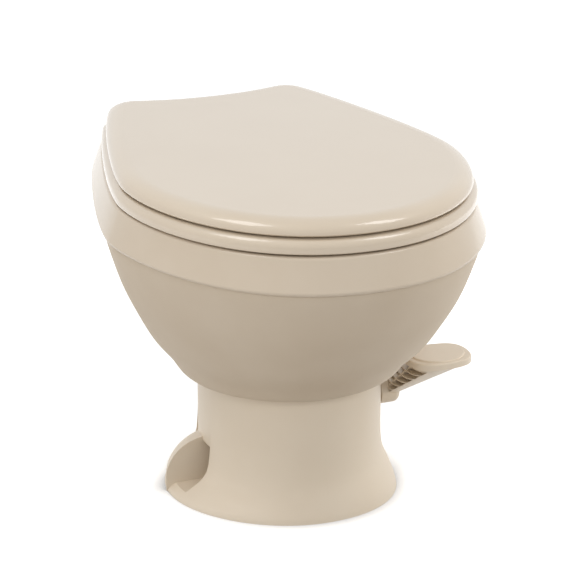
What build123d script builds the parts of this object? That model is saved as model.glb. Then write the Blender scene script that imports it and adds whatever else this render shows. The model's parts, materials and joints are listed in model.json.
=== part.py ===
from build123d import *
from math import cos, pi, radians, sin, sqrt, tan
import os

# Low-profile toilet for a motor home, flushed with a foot pedal. Millimetres.
# The origin is on the floor, on the waste outlet's axis. The front faces -Y, the pedal is on the +X side.

# Lid outline, seen from above: half an ellipse in front, straight sides that taper, round back corners
# and a shallow dip in the back edge.
lid_half_width = 177
lid_front_reach = 202
widest_line_y = -5
back_corner_x = 87
back_corner_y = 234
back_corner_radius = 31
side_taper_deg = 23.5
back_dip_deg = 17
side_handle_share = 0.19
lid_front_share = 0.66
lid_side_share = 0.42

# Heights above the floor
seam_height = 133
rim_height = 321
rim_band_height = 35
seat_gap = 2
seat_thickness = 14
lid_gap = 2
lid_thickness = 14

# Rim band: how far it stands out past the lid's outline, and its fuller front
rim_top_grow = 5
rim_foot_grow = 18
rim_ledge = 12
rim_top_round = 4
rim_foot_round = 3
rim_front_share = 0.78
rim_side_share = 0.22

# Bowl: the outer wall runs from the rim's outline to an ellipse at the seam, by these shares of the way
seam_half_x = 112
seam_half_y = 111
seam_centre_y = 3
bowl_height_shares = (1.0, 0.86, 0.72, 0.58, 0.447, 0.313, 0.18, 0.08, 0.0)
bowl_outline_shares = (0.0, 0.054, 0.138, 0.244, 0.372, 0.514, 0.705, 0.855, 1.0)
bowl_wall = 8
bowl_lip_radius = 86
deck_thickness = 16
basin_half_x = 128
basin_half_y = 152
basin_centre_y = -8
basin_height_shares = (1.0, 0.77, 0.53, 0.32, 0.18, 0.07, 0.0)
basin_width_shares = (1.0, 0.985, 0.90, 0.73, 0.52, 0.27, 0.0)
back_notch_half_width = 52
back_notch_front_y = 176
back_notch_drop = 25

# Flush ball, its seat and the housing round it
shaft_height = 82
shaft_radius = 7
shaft_flat = 1.5
ball_radius = 68
ball_wall = 4
ball_edge_radius = 36.5
ball_clearance = 2.5
ball_lug_thickness = 5
ball_lug_gap = 2.2
ball_hub_radius = 13
throat_radius = 36
throat_step = 1
seal_lip_radius = 33.4
seal_thickness = 4.5
seal_outer_radius = 54
housing_wall = 4
housing_bore_radius = 41
housing_flange_radius = 70
housing_flange_thickness = 5
housing_foot_half_x = 56
housing_foot_half_y = 62
housing_foot_thickness = 7
housing_screw_x = 46
housing_screw_y = 52
screw_radius = 2.5
screw_head_radius = 5
screw_head_height = 3
outlet_radius = 38
floor_seal_outer = 51.5
floor_seal_inner = 43
bush_radius = 11
bush_length = 9
bush_flange_radius = 13.5
bush_flange_thickness = 2
bush_boss_radius = 16
running_gap = 0.05
part_gap = 0.3

# Half clamps round the bowl's outlet flange
outlet_flange_radius = 54
outlet_flange_thickness = 6
outlet_neck_radius = 44
outlet_neck_rise = 14
clamp_thickness = 5
clamp_split = 3
clamp_outer_radius = 68
clamp_screw_circle = 62
clamp_screw_deg = 35

# Pedestal: outlines at the floor and at the neck, and the shares of the way from floor to neck
neck_half_x = 94.5
neck_half_y = 106.5
neck_centre_y = 6.5
foot_right_x = 106
foot_left_x = 132.5
foot_front_y = 116
foot_back_y = 124
foot_right_y = -7
foot_left_y = 5
foot_right_share = 0.62
foot_front_left_share = 0.56
foot_side_left_share = 0.45
flare_height = 74
flare_height_shares = (0.0, 0.07, 0.14, 0.22, 0.3, 0.38, 0.46, 0.54, 0.63, 0.72, 0.81, 0.9, 1.0)
flare_right_shares = (0.0, 0.075, 0.175, 0.315, 0.475, 0.65, 0.795, 0.89, 0.948, 0.978, 0.992, 0.999, 1.0)
flare_left_shares = (0.0, 0.11, 0.35, 0.60, 0.77, 0.86, 0.905, 0.932, 0.952, 0.967, 0.98, 0.991, 1.0)
pedestal_wall = 4
base_plate_thickness = 8
lobe_x = -62
lobe_half_x = 73
lobe_half_y = 68
lobe_height = 57
lobe_height_shares = (0.0, 0.12, 0.42, 0.61, 0.79, 0.92, 1.0)
lobe_width_shares = (1.0, 1.0, 0.985, 0.92, 0.80, 0.62, 0.42)
flank_depth = 1.4
flank_front_y = -13
flank_back_y = 62
flank_foot = 44
pocket_half_width = 13
pocket_inner_x = 62
pocket_left_height = 52
pocket_right_height = 44
bolt_spacing = 152.4
bolt_slot_radius = 4.5

# Pedal: hub on the shaft, ribbed arm and oval pad
pedal_hub_radius = 14
pedal_hub_start_x = 98.5
pedal_hub_end_x = 121
pedal_hub_round = 7
pedal_hub_wall = 2.5
pad_x = 147
pad_y = -44
pad_half_x = 35
pad_half_y = 27.5
pad_height = 134
pad_thickness = 7
pad_raise = 1.5
pad_border_x = 6
pad_border_y = 3
pad_round = 2
pad_square_share = 0.72
arm_inset_x = 8
arm_inset_y = 2
arm_foot_z = 79
arm_foot_half = 8.5
arm_rib = 1.8
arm_columns = 2
arm_rows = 6
arm_lattice_foot_share = 0.06
arm_lattice_top_share = 0.9
arm_pocket_depth = 11
arm_square_share = 0.8
pedal_screw_radius = 3
pedal_screw_head_radius = 6
pedal_screw_head_height = 3
pedal_screw_length = 22

# Return spring and its cartridge on the left end of the shaft
shaft_left_x = -84
cartridge_radius = 20
cartridge_wall = 2.5
cartridge_cap_thickness = 4
cartridge_flange_radius = 28
cartridge_flange_thickness = 3
cartridge_end_x = -82
spring_wire = 3
spring_radius = 13
spring_turns = 6

# Valve cam, plunger, water valve
cam_x = 62
cam_width = 8
cam_low_radius = 16
cam_lift = 7
pedal_travel_deg = 60
plunger_radius = 4
plunger_tip_radius = 3.5
plunger_gap = 0.8
valve_pad_y = 106
valve_pad_half = 22
valve_radius = 19
valve_length = 38
valve_flange_thickness = 5
valve_disc_radius = 9
valve_disc_thickness = 3
valve_disc_inset = 8
valve_wall = 4
valve_screw_radius = 2
valve_screw_spread = 17
valve_screw_head_radius = 3.5
valve_screw_head_height = 2.5
valve_screw_length = 13
bonnet_thickness = 7
inlet_radius = 10.67
inlet_length = 18
inlet_nut_radius = 12
inlet_nut_length = 7
inlet_bore_radius = 6
thread_pitch = 1.81
thread_depth = 0.6
hose_outer_radius = 8
hose_inner_radius = 5.5
barb_length = 16
hose_bend_radius = 28
hose_climb = 86

# Vacuum breaker behind the bowl
breaker_y = 214
breaker_height = 44
breaker_radius = 15
breaker_cap_radius = 18
breaker_cap_height = 8
breaker_drop = 45
breaker_outlet_rise = 32
breaker_outlet_radius = 8
breaker_outlet_end_y = 134
breaker_inlet_radius = 5
grommet_radius = 12
grommet_lip = 3
grommet_front_y = 137
grommet_back_y = 156
grommet_boss_radius = 18
hose_clamp_width = 8
hose_clamp_thickness = 1.2

# Hinges
hinge_x = 70
hinge_back_gap = 7.5
hinge_rise = 12
hinge_pin_radius = 3
knuckle_radius = 7
knuckle_half_width = 8
leaf_knuckle_width = 12
knuckle_gap = 0.5
bracket_front_y = 234
bracket_back_y = 263
bracket_half_width = 12
bracket_height = 9
hinge_bolt_y = 246
hinge_bolt_gap = 0.5
hinge_bolt_radius = 4
hinge_bolt_head_radius = 8
hinge_bolt_head_height = 3
hinge_bolt_length = 42
hinge_nut_radius = 9.5
hinge_nut_height = 9
washer_radius = 11.5
washer_thickness = 2
leaf_thickness = 2.5
lid_leaf_front_y = 242
leaf_web_y = 258
seat_leaf_front_y = 208
leaf_screw_radius = 1.8
leaf_screw_length = 9
leaf_screw_head_radius = 3.4
leaf_screw_head_height = 1

# Seat ring and lid
seat_grow = 5
seat_back_y = 232
seat_open_half_x = 112
seat_open_half_y = 140
seat_open_centre_y = -12
seat_edge_round = 9
seat_open_round = 6
seat_foot_round = 2
lid_edge_run = 19
lid_edge_steps = 6
lid_foot_round = 1.5
bumper_radius = 9
bumper_stud_radius = 3
bumper_stud_length = 6
seat_bumper_x = 138
seat_bumper_front_y = -70
seat_bumper_back_y = 150
seat_bumper_back_x = 100
lid_bumper_x = 111
lid_bumper_front_y = -120

cut_over = 1

# Derived places
rim_edge_height = rim_height - rim_band_height
back_notch_top = rim_height - back_notch_drop
breaker_outlet_z = rim_height - breaker_drop
breaker_foot_z = breaker_outlet_z - breaker_outlet_rise
hinge_axis_y = back_corner_y + back_corner_radius + hinge_back_gap
hinge_axis_z = rim_height + hinge_rise
hose_rise_z = shaft_height + hose_climb
seal_height = shaft_height + sqrt(ball_radius ** 2 - seal_lip_radius ** 2) + part_gap
seat_foot_z = rim_height + seat_gap
seat_top_z = seat_foot_z + seat_thickness
lid_foot_z = seat_top_z + lid_gap
lid_top_z = lid_foot_z + lid_thickness
outlet_flange_foot = seal_height + seal_thickness
outlet_flange_top = outlet_flange_foot + outlet_flange_thickness
clamp_top_z = outlet_flange_top + clamp_thickness
chamber_radius = ball_radius + ball_clearance
chamber_half_width = ball_edge_radius + ball_lug_gap
housing_outer_radius = chamber_radius + housing_wall
housing_half_width = chamber_half_width + housing_wall
base_hole_radius = floor_seal_outer + part_gap
shaft_right_x = pedal_hub_end_x - pedal_screw_head_height - pedal_hub_wall
boss_end_x = chamber_half_width + bush_length
valve_disc_y = valve_pad_y + valve_disc_inset
valve_back_y = valve_pad_y + valve_length
valve_middle_y = valve_pad_y + (valve_length + valve_flange_thickness) / 2
pad_foot_z = pad_height - pad_thickness
knuckle_inner_x = hinge_x - knuckle_half_width
knuckle_outer_x = hinge_x + knuckle_half_width


def block(low, high):
    """A box between two opposite corners"""
    size = [b - a for a, b in zip(low, high)]
    return Pos(*low) * Box(*size, align=(Align.MIN, Align.MIN, Align.MIN))


def rod_z(radius, low, high, x=0, y=0):
    """An upright cylinder"""
    return Pos(x, y, low) * Cylinder(radius, high - low, align=(Align.CENTER, Align.CENTER, Align.MIN))


def rod_x(radius, low, high, y=0, z=0):
    """A cylinder along X"""
    turned = Rot(0, 90, 0) * Cylinder(radius, high - low, align=(Align.CENTER, Align.CENTER, Align.MIN))
    return Pos(low, y, z) * turned


def rod_y(radius, low, high, x=0, z=0):
    """A cylinder along Y"""
    turned = Rot(-90, 0, 0) * Cylinder(radius, high - low, align=(Align.CENTER, Align.CENTER, Align.MIN))
    return Pos(x, low, z) * turned


def mirrored(shape):
    """The same shape on the other side of the middle"""
    return mirror(shape, about=Plane.YZ)


def both_sides(shape):
    """A shape and its mirror image, as separate solids"""
    return Compound(children=shape.solids() + mirrored(shape).solids())


def save(name, shape):
    """Writes one node"""
    export_step(shape, f"parts/{name}.step")


def lid_outline(grow, front_share=lid_front_share, side_share=lid_side_share):
    """Control points of the right half of the lid's outline, from the front to the back, grown outwards"""
    half_x = lid_half_width + grow
    reach = lid_front_reach + grow
    taper = radians(side_taper_deg)
    dip = radians(back_dip_deg)
    radius = back_corner_radius + grow
    front = Vector(0, widest_line_y - reach)
    widest = Vector(half_x, widest_line_y)
    corner = Vector(back_corner_x, back_corner_y)
    side_way = Vector(-sin(taper), cos(taper))
    back_way = Vector(-cos(dip), -sin(dip))
    corner_start = corner + Vector(cos(taper), sin(taper)) * radius
    corner_end = corner + Vector(-sin(dip), cos(dip)) * radius
    corner_handle = 4 / 3 * tan((pi / 2 + dip - taper) / 4) * radius
    side_handle = (corner_start - widest).length * side_handle_share
    back_radius = corner_end.X / sin(dip)
    back_handle = 4 / 3 * tan(dip / 4) * back_radius
    back = Vector(0, corner_end.Y - back_radius * (1 - cos(dip)))
    return [
        front,
        front + Vector(half_x * front_share, 0),
        widest - Vector(0, reach * side_share),
        widest,
        widest + Vector(0, side_handle),
        corner_start - side_way * side_handle,
        corner_start,
        corner_start + side_way * corner_handle,
        corner_end - back_way * corner_handle,
        corner_end,
        corner_end + back_way * back_handle,
        back + Vector(back_handle, 0),
        back,
    ]


def rim_outline(grow):
    """The rim's outline, fuller in front than the lid's"""
    return lid_outline(grow, rim_front_share, rim_side_share)


def ellipse_outline(half_x, half_y, centre_y=0):
    """Control points of the right half of an ellipse, with as many points as the lid's outline"""
    points = [Vector(0, centre_y - half_y)]
    stops = (-90, 0, 45, 70, 90)
    for start, end in zip(stops[:-1], stops[1:]):
        a, b = radians(start), radians(end)
        handle = 4 / 3 * tan((b - a) / 4)
        first = Vector(half_x * cos(a), centre_y + half_y * sin(a))
        last = Vector(half_x * cos(b), centre_y + half_y * sin(b))
        points.append(first + Vector(-half_x * sin(a), half_y * cos(a)) * handle)
        points.append(last - Vector(-half_x * sin(b), half_y * cos(b)) * handle)
        points.append(last)
    return points


def blend(first, second, share):
    """Control points part of the way from one outline to another"""
    return [a + (b - a) * share for a, b in zip(first, second)]


def flip(points):
    """The left half that matches a right half, from the back to the front"""
    return [Vector(-p.X, p.Y) for p in reversed(points)]


def outline_face(right, height, left=None):
    """A flat face inside two half outlines"""
    edges = []
    for half in (right, left or flip(right)):
        raised = [Vector(p.X, p.Y, height) for p in half]
        edges += [Bezier(*raised[i:i + 4]) for i in range(0, len(raised) - 1, 3)]
    return Face(Wire(edges))


def stack(levels):
    """A solid lofted through outlines given as (points, height)"""
    return loft([outline_face(points, height) for points, height in levels])


def bowl_skin(inset, low, high):
    """The bowl's outer wall moved inwards, between two heights, with its full run from rim to seam"""
    rim = rim_outline(rim_ledge - inset)
    seam = ellipse_outline(seam_half_x - inset, seam_half_y - inset, seam_centre_y)
    levels = []
    for height_share, share in zip(bowl_height_shares, bowl_outline_shares):
        height = seam_height + (rim_edge_height - seam_height) * height_share
        levels.append((blend(rim, seam, share), height))
    skin = stack(levels)
    if high > rim_edge_height:
        skin += extrude(outline_face(rim, rim_edge_height), high - rim_edge_height)
    if low > seam_height:
        reach = lid_half_width * 2
        skin -= block((-reach, -reach, seam_height - cut_over), (reach, reach, low))
    return skin


def basin_skin(grow):
    """The hollow of the basin, or its wall's outer side when grown"""
    low = outlet_flange_top + outlet_neck_rise
    start = throat_radius + throat_step
    levels = []
    for height_share, share in zip(basin_height_shares, basin_width_shares):
        half_x = start + (basin_half_x - start) * share + grow
        half_y = start + (basin_half_y - start) * share + grow
        height = low + (rim_height - low) * height_share
        levels.append((ellipse_outline(half_x, half_y, basin_centre_y * share), height))
    return stack(levels)


def rim_band():
    """The slanted band round the rim, with rounded edges"""
    foot = rim_outline(rim_foot_grow)
    top = rim_outline(rim_top_grow)
    middle = blend(foot, top, 1 / 2)
    band = stack([
        (foot, rim_edge_height),
        (middle, (rim_edge_height + rim_height) / 2),
        (top, rim_height),
    ])
    band = fillet(band.faces().sort_by(Axis.Z)[-1].edges(), rim_top_round)
    return fillet(band.faces().sort_by(Axis.Z)[0].edges(), rim_foot_round)


def make_bowl():
    cavity_top = rim_height - deck_thickness
    shell = bowl_skin(0, seam_height, rim_edge_height) + rim_band()
    hollow = bowl_skin(bowl_wall, seam_height + bowl_wall, cavity_top) - basin_skin(bowl_wall)
    neck_high = outlet_flange_top + outlet_neck_rise
    hollow -= rod_z(outlet_neck_radius, outlet_flange_foot, neck_high + bowl_wall)
    bowl = shell - hollow - rod_z(bowl_lip_radius, seam_height - cut_over, seam_height + bowl_wall + cut_over)
    bowl += rod_z(outlet_neck_radius, outlet_flange_foot, neck_high + bowl_wall)
    bowl += rod_z(outlet_flange_radius, outlet_flange_foot, outlet_flange_top)
    bowl += rod_y(grommet_boss_radius, grommet_front_y, grommet_back_y, 0, breaker_outlet_z)
    bowl -= basin_skin(0)
    bowl -= rod_z(throat_radius, outlet_flange_foot - cut_over, neck_high + cut_over)
    reach = lid_front_reach * 2
    bowl -= block(
        (-back_notch_half_width, back_notch_front_y, seam_height - cut_over),
        (back_notch_half_width, reach, back_notch_top),
    )
    grommet_hole = grommet_radius + running_gap
    bowl -= rod_y(grommet_hole, basin_half_x, grommet_back_y + cut_over, 0, breaker_outlet_z)
    bolt_hole = hinge_bolt_radius + hinge_bolt_gap
    for x in (-hinge_x, hinge_x):
        bowl -= rod_z(bolt_hole, cavity_top - cut_over, rim_height + cut_over, x, hinge_bolt_y)
    return bowl


def quarters(front, widest, back, front_share, side_share):
    """Control points of half a foot outline: one curve to the widest point, three round the back"""
    points = [
        front,
        Vector(widest.X * front_share, front.Y),
        Vector(widest.X, widest.Y + (front.Y - widest.Y) * side_share),
        widest,
    ]
    return points + ellipse_outline(widest.X, back.Y - widest.Y, widest.Y)[4:]


def pedestal_level(right_share, left_share):
    """Both half outlines of the pedestal, part of the way from the floor to the neck"""
    front = Vector(0, -foot_front_y)
    back = Vector(0, foot_back_y)
    neck = ellipse_outline(neck_half_x, neck_half_y, neck_centre_y)
    widest_right = Vector(foot_right_x, foot_right_y)
    widest_left = Vector(foot_left_x, foot_left_y)
    foot_right = quarters(front, widest_right, back, foot_right_share, foot_right_share)
    foot_left = quarters(front, widest_left, back, foot_front_left_share, foot_side_left_share)
    right = blend(foot_right, neck, right_share)
    left = blend(foot_left, neck, left_share)
    for i in (0, 1, -2, -1):
        left[i] = Vector(left[i].X, right[i].Y)
    return right, flip(left)


def pedestal_skin():
    """The outer form of the pedestal, without its lobe"""
    faces = []
    shares = zip(flare_height_shares, flare_right_shares, flare_left_shares)
    for height_share, right_share, left_share in shares:
        right, left = pedestal_level(right_share, left_share)
        faces.append(outline_face(right, flare_height * height_share, left))
    neck = outline_face(ellipse_outline(neck_half_x, neck_half_y, neck_centre_y), flare_height)
    return loft(faces) + extrude(neck, seam_height - flare_height)


def lobe(inset):
    """The swelling behind the left bolt's pocket, moved inwards"""
    levels = []
    for height_share, share in zip(lobe_height_shares, lobe_width_shares):
        outline = ellipse_outline(lobe_half_x * share - inset, lobe_half_y * share - inset)
        levels.append((outline, (lobe_height - inset) * height_share))
    swelling = Pos(lobe_x, 0, 0) * stack(levels)
    reach = lobe_half_y * 2
    return swelling & block((-reach * 2, pocket_half_width, 0), (reach, reach, lobe_height))


def bolt_pocket(side, height, grow):
    """The pocket for one floor bolt, open outwards, or its walls when grown"""
    inner = (pocket_inner_x - grow) * side
    outer = foot_left_x * 2 * side
    half = pocket_half_width + grow
    low = base_plate_thickness
    return block((min(inner, outer), -half, low), (max(inner, outer), half, height + grow))


def make_pedestal():
    skin = pedestal_skin()
    reach = foot_left_x * 2
    flank = block((-reach, flank_front_y, flank_foot), (0, flank_back_y, seam_height + cut_over))
    flank_level = ellipse_outline(neck_half_x - flank_depth, neck_half_y, neck_centre_y)
    skin -= flank - extrude(outline_face(flank_level, 0), seam_height * 2)
    skin += lobe(0)
    core = outline_face(
        ellipse_outline(
            neck_half_x - flank_depth - pedestal_wall, neck_half_y - pedestal_wall, neck_centre_y
        ),
        base_plate_thickness,
    )
    hollow = extrude(core, seam_height)
    low = block((-reach, -reach, -cut_over), (reach, reach, base_plate_thickness))
    hollow += lobe(pedestal_wall) - low
    for side, height in ((-1, pocket_left_height), (1, pocket_right_height)):
        hollow -= bolt_pocket(side, height, pedestal_wall)
    valve_pad = block(
        (cam_x - valve_pad_half, 0, shaft_height - valve_pad_half),
        (cam_x + valve_pad_half, valve_pad_y, shaft_height + valve_pad_half),
    )
    pedestal = skin + valve_pad - hollow
    for side, height in ((-1, pocket_left_height), (1, pocket_right_height)):
        pedestal -= bolt_pocket(side, height, 0)
        bolt_x = bolt_spacing / 2 * side
        pedestal -= rod_z(bolt_slot_radius, -cut_over, base_plate_thickness + cut_over, bolt_x)
    pedestal -= rod_z(base_hole_radius, -cut_over, base_plate_thickness + cut_over)
    pedestal -= rod_x(shaft_radius + part_gap, 0, neck_half_x + cut_over, 0, shaft_height)
    pedestal -= rod_y(plunger_radius + part_gap, 0, valve_pad_y + cut_over, cam_x, shaft_height)
    for x, z in valve_screw_places():
        hole_start = valve_pad_y + valve_flange_thickness - valve_screw_length
        pedestal -= rod_y(valve_screw_radius + running_gap, hole_start, valve_pad_y + cut_over, x, z)
    for x, y in corner_places(housing_screw_x, housing_screw_y):
        hole_top = base_plate_thickness + cut_over
        pedestal -= rod_z(screw_radius + running_gap, base_plate_thickness / 4, hole_top, x, y)
    return pedestal


def corner_places(half_x, half_y):
    """Four places round the middle"""
    return [(x, y) for x in (-half_x, half_x) for y in (-half_y, half_y)]


def valve_screw_places():
    spread = valve_screw_spread
    return [(cam_x + x, shaft_height + z) for x, z in corner_places(spread, spread)]


def clamp_screw_places():
    turn = radians(clamp_screw_deg)
    return corner_places(clamp_screw_circle * cos(turn), clamp_screw_circle * sin(turn))


def make_flush_housing():
    housing = rod_x(housing_outer_radius, -housing_half_width, housing_half_width, 0, shaft_height)
    housing -= rod_z(housing_outer_radius * 2, seal_height, seal_height + housing_outer_radius)
    flange_foot = seal_height - housing_flange_thickness
    housing += rod_z(housing_flange_radius, flange_foot, seal_height)
    housing += rod_z(outlet_radius + housing_wall, 0, shaft_height / 2)
    foot_top = base_plate_thickness + housing_foot_thickness
    housing += block(
        (-housing_foot_half_x, -housing_foot_half_y, base_plate_thickness),
        (housing_foot_half_x, housing_foot_half_y, foot_top),
    )
    housing += rod_x(bush_boss_radius, -boss_end_x, boss_end_x, 0, shaft_height)
    chamber = rod_x(chamber_radius, -chamber_half_width, chamber_half_width, 0, shaft_height)
    housing -= chamber & block(
        (-chamber_radius, -chamber_radius, 0), (chamber_radius, chamber_radius, flange_foot)
    )
    housing -= rod_z(outlet_radius, -cut_over, shaft_height)
    housing -= rod_z(housing_bore_radius, shaft_height, seal_height + cut_over)
    bush_hole = bush_radius + running_gap
    housing -= rod_x(bush_hole, -boss_end_x - cut_over, boss_end_x + cut_over, 0, shaft_height)
    for x, y in corner_places(housing_screw_x, housing_screw_y):
        housing -= rod_z(screw_radius + running_gap, 0, foot_top + cut_over, x, y)
    for x, y in clamp_screw_places():
        housing -= rod_z(screw_radius + running_gap, flange_foot - cut_over, seal_height + cut_over, x, y)
    return housing


def make_screws(places, head_foot, tip):
    """Upright screws with round heads"""
    screws = []
    for x, y in places:
        screw = rod_z(screw_radius, tip, head_foot, x, y)
        screw += rod_z(screw_head_radius, head_foot, head_foot + screw_head_height, x, y)
        screws.append(screw.solid())
    return Compound(children=screws)


def make_floor_seal():
    return rod_z(floor_seal_outer, 0, base_plate_thickness) - rod_z(
        floor_seal_inner, -cut_over, base_plate_thickness + cut_over
    )


def make_ball_seal():
    return rod_z(seal_outer_radius, seal_height, outlet_flange_foot) - rod_z(
        seal_lip_radius, seal_height - cut_over, outlet_flange_foot + cut_over
    )


def make_bushes():
    bush = rod_x(bush_radius, chamber_half_width, boss_end_x, 0, shaft_height)
    bush += rod_x(bush_flange_radius, boss_end_x, boss_end_x + bush_flange_thickness, 0, shaft_height)
    bush -= rod_x(shaft_radius + running_gap, 0, boss_end_x * 2, 0, shaft_height)
    return both_sides(bush)


def make_clamp(front):
    """One half ring over the bowl's outlet flange"""
    ring = rod_z(clamp_outer_radius, seal_height, clamp_top_z)
    ring -= rod_z(outlet_flange_radius + part_gap, seal_height - cut_over, outlet_flange_top)
    ring -= rod_z(outlet_neck_radius + part_gap, seal_height, clamp_top_z + cut_over)
    reach = clamp_outer_radius * 2
    half = clamp_split / 2
    if front:
        ring -= block((-reach, -half, 0), (reach, reach, seam_height * 2))
    else:
        ring -= block((-reach, -reach, 0), (reach, half, seam_height * 2))
    for x, y in clamp_screw_places():
        ring -= rod_z(screw_radius + running_gap, seal_height - cut_over, clamp_top_z + cut_over, x, y)
    return ring


def shaft_form(grow, low, high):
    """The shaft's D section along X, or the bore for it when grown"""
    flat_z = shaft_height + shaft_radius - shaft_flat + grow
    form = rod_x(shaft_radius + grow, low, high, 0, shaft_height)
    over = shaft_radius * 2
    return form - block((low - over, -over, flat_z), (high + over, over, shaft_height + over))


def make_flush_ball():
    edge_z = shaft_height + sqrt(ball_radius ** 2 - ball_edge_radius ** 2)
    centre = Pos(0, 0, shaft_height)
    cap = centre * Sphere(ball_radius) & rod_z(ball_edge_radius, shaft_height, shaft_height * 2)
    cap -= centre * Sphere(ball_radius - ball_wall)
    lug_inner = ball_edge_radius - ball_lug_thickness
    lug = rod_x(ball_hub_radius, lug_inner, ball_edge_radius, 0, shaft_height)
    lug += block((lug_inner, -ball_hub_radius, shaft_height), (ball_edge_radius, ball_hub_radius, edge_z))
    lug &= centre * Sphere(ball_radius)
    ball = cap + lug + mirrored(lug)
    return ball - shaft_form(running_gap, -ball_radius, ball_radius)


def make_shaft():
    shaft = shaft_form(0, shaft_left_x, shaft_right_x)
    screw_end = pedal_hub_end_x - pedal_screw_head_height - pedal_screw_length
    return shaft - rod_x(pedal_screw_radius + running_gap, screw_end, pedal_hub_end_x, 0, shaft_height)


def make_cam():
    """Snail cam: its radius grows evenly over the pedal's travel, below the plunger's line"""
    points = []
    for turn in range(-180, 180, 15):
        share = min(max(-turn / pedal_travel_deg, 0), 1) if turn > -90 else 1 - (-turn - 90) / 90
        radius = cam_low_radius + cam_lift * share
        across = radius * cos(radians(turn))
        points.append((cam_x - cam_width / 2, across, shaft_height + radius * sin(radians(turn))))
    face = Face(Wire([Spline(*points, periodic=True)]))
    return extrude(face, cam_width, dir=(1, 0, 0)) - shaft_form(running_gap, 0, cam_x * 2)


def make_plunger():
    tip = cam_low_radius + plunger_gap
    plunger = rod_y(plunger_radius, tip, valve_disc_y, cam_x, shaft_height)
    plunger = fillet(plunger.faces().sort_by(Axis.Y)[0].edges(), plunger_tip_radius)
    disc_back = valve_disc_y + valve_disc_thickness
    return plunger + rod_y(valve_disc_radius, valve_disc_y, disc_back, cam_x, shaft_height)


def make_water_valve():
    flange_back = valve_pad_y + valve_flange_thickness
    valve = block(
        (cam_x - valve_pad_half, valve_pad_y, shaft_height - valve_pad_half),
        (cam_x + valve_pad_half, flange_back, shaft_height + valve_pad_half),
    )
    valve += rod_y(valve_radius, flange_back, valve_back_y, cam_x, shaft_height)
    valve -= rod_y(valve_radius - valve_wall, flange_back, valve_back_y + cut_over, cam_x, shaft_height)
    valve -= rod_y(plunger_radius + running_gap, valve_pad_y - cut_over, valve_back_y, cam_x, shaft_height)
    for x, z in valve_screw_places():
        valve -= rod_y(valve_screw_radius + running_gap, valve_pad_y - cut_over, flange_back + cut_over, x, z)
    inlet_x = cam_x - valve_radius
    valve += rod_x(inlet_nut_radius, inlet_x, cam_x, valve_middle_y, shaft_height) - rod_y(
        valve_radius - valve_wall / 2, 0, valve_back_y * 2, cam_x, shaft_height
    )
    return valve - rod_x(inlet_bore_radius, 0, cam_x, valve_middle_y, shaft_height)


def make_bonnet():
    seat_end = valve_back_y - bonnet_thickness / 2
    bonnet = rod_y(valve_radius, valve_back_y, valve_back_y + bonnet_thickness, cam_x, shaft_height)
    bonnet += rod_y(valve_radius - valve_wall - running_gap, seat_end, valve_back_y, cam_x, shaft_height)
    barb_end = valve_back_y + bonnet_thickness + barb_length
    bonnet += rod_y(hose_inner_radius - running_gap, valve_back_y, barb_end, cam_x, shaft_height)
    bore = hose_inner_radius - grommet_lip / 2
    return bonnet - rod_y(bore, seat_end - cut_over, barb_end + cut_over, cam_x, shaft_height)


def make_valve_screws():
    head_y = valve_pad_y + valve_flange_thickness
    screws = []
    for x, z in valve_screw_places():
        screw = rod_y(valve_screw_radius, head_y - valve_screw_length, head_y, x, z)
        screw += rod_y(valve_screw_head_radius, head_y, head_y + valve_screw_head_height, x, z)
        screws.append(screw.solid())
    return Compound(children=screws)


def make_inlet():
    """Hexagon and a threaded end with rings for its thread"""
    start = cam_x - valve_radius
    hexagon = Plane.YZ * RegularPolygon(inlet_nut_radius, 6, major_radius=False)
    nut_end = start - inlet_nut_length
    fitting = Pos(nut_end, valve_middle_y, shaft_height) * extrude(hexagon, inlet_nut_length)
    end = nut_end - inlet_length
    fitting += rod_x(inlet_radius, end, nut_end, valve_middle_y, shaft_height)
    groove_half = thread_pitch / 4
    for i in range(1, int(inlet_length / thread_pitch)):
        middle = end + i * thread_pitch
        low = middle - groove_half
        groove = rod_x(inlet_radius + cut_over, low, middle + groove_half, valve_middle_y, shaft_height)
        groove -= rod_x(inlet_radius - thread_depth, end, nut_end, valve_middle_y, shaft_height)
        fitting -= groove
    return fitting - rod_x(inlet_bore_radius, end - cut_over, start + cut_over, valve_middle_y, shaft_height)


def hose_path():
    start_y = valve_back_y + bonnet_thickness
    return FilletPolyline(
        (cam_x, start_y, shaft_height),
        (cam_x, breaker_y, shaft_height),
        (0, breaker_y, hose_rise_z),
        (0, breaker_y, breaker_foot_z),
        radius=[hose_bend_radius, hose_bend_radius],
    )


def make_hose():
    path = hose_path()
    start = Plane(origin=path @ 0, z_dir=path % 0)
    ring = start * (Circle(hose_outer_radius) - Circle(hose_inner_radius))
    return sweep(ring, path)


def hose_ring(inner, outer, length):
    """The two hose clamps' bands, on the hose's two ends"""
    first_y = valve_back_y + bonnet_thickness + barb_length / 2 - length / 2
    first = rod_y(outer, first_y, first_y + length, cam_x, shaft_height)
    first -= rod_y(inner, 0, breaker_y * 2, cam_x, shaft_height)
    second_z = breaker_foot_z - barb_length / 2 - length / 2
    second = rod_z(outer, second_z, second_z + length, 0, breaker_y)
    second -= rod_z(inner, 0, breaker_foot_z * 2, 0, breaker_y)
    return Compound(children=[first.solid(), second.solid()])


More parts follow.
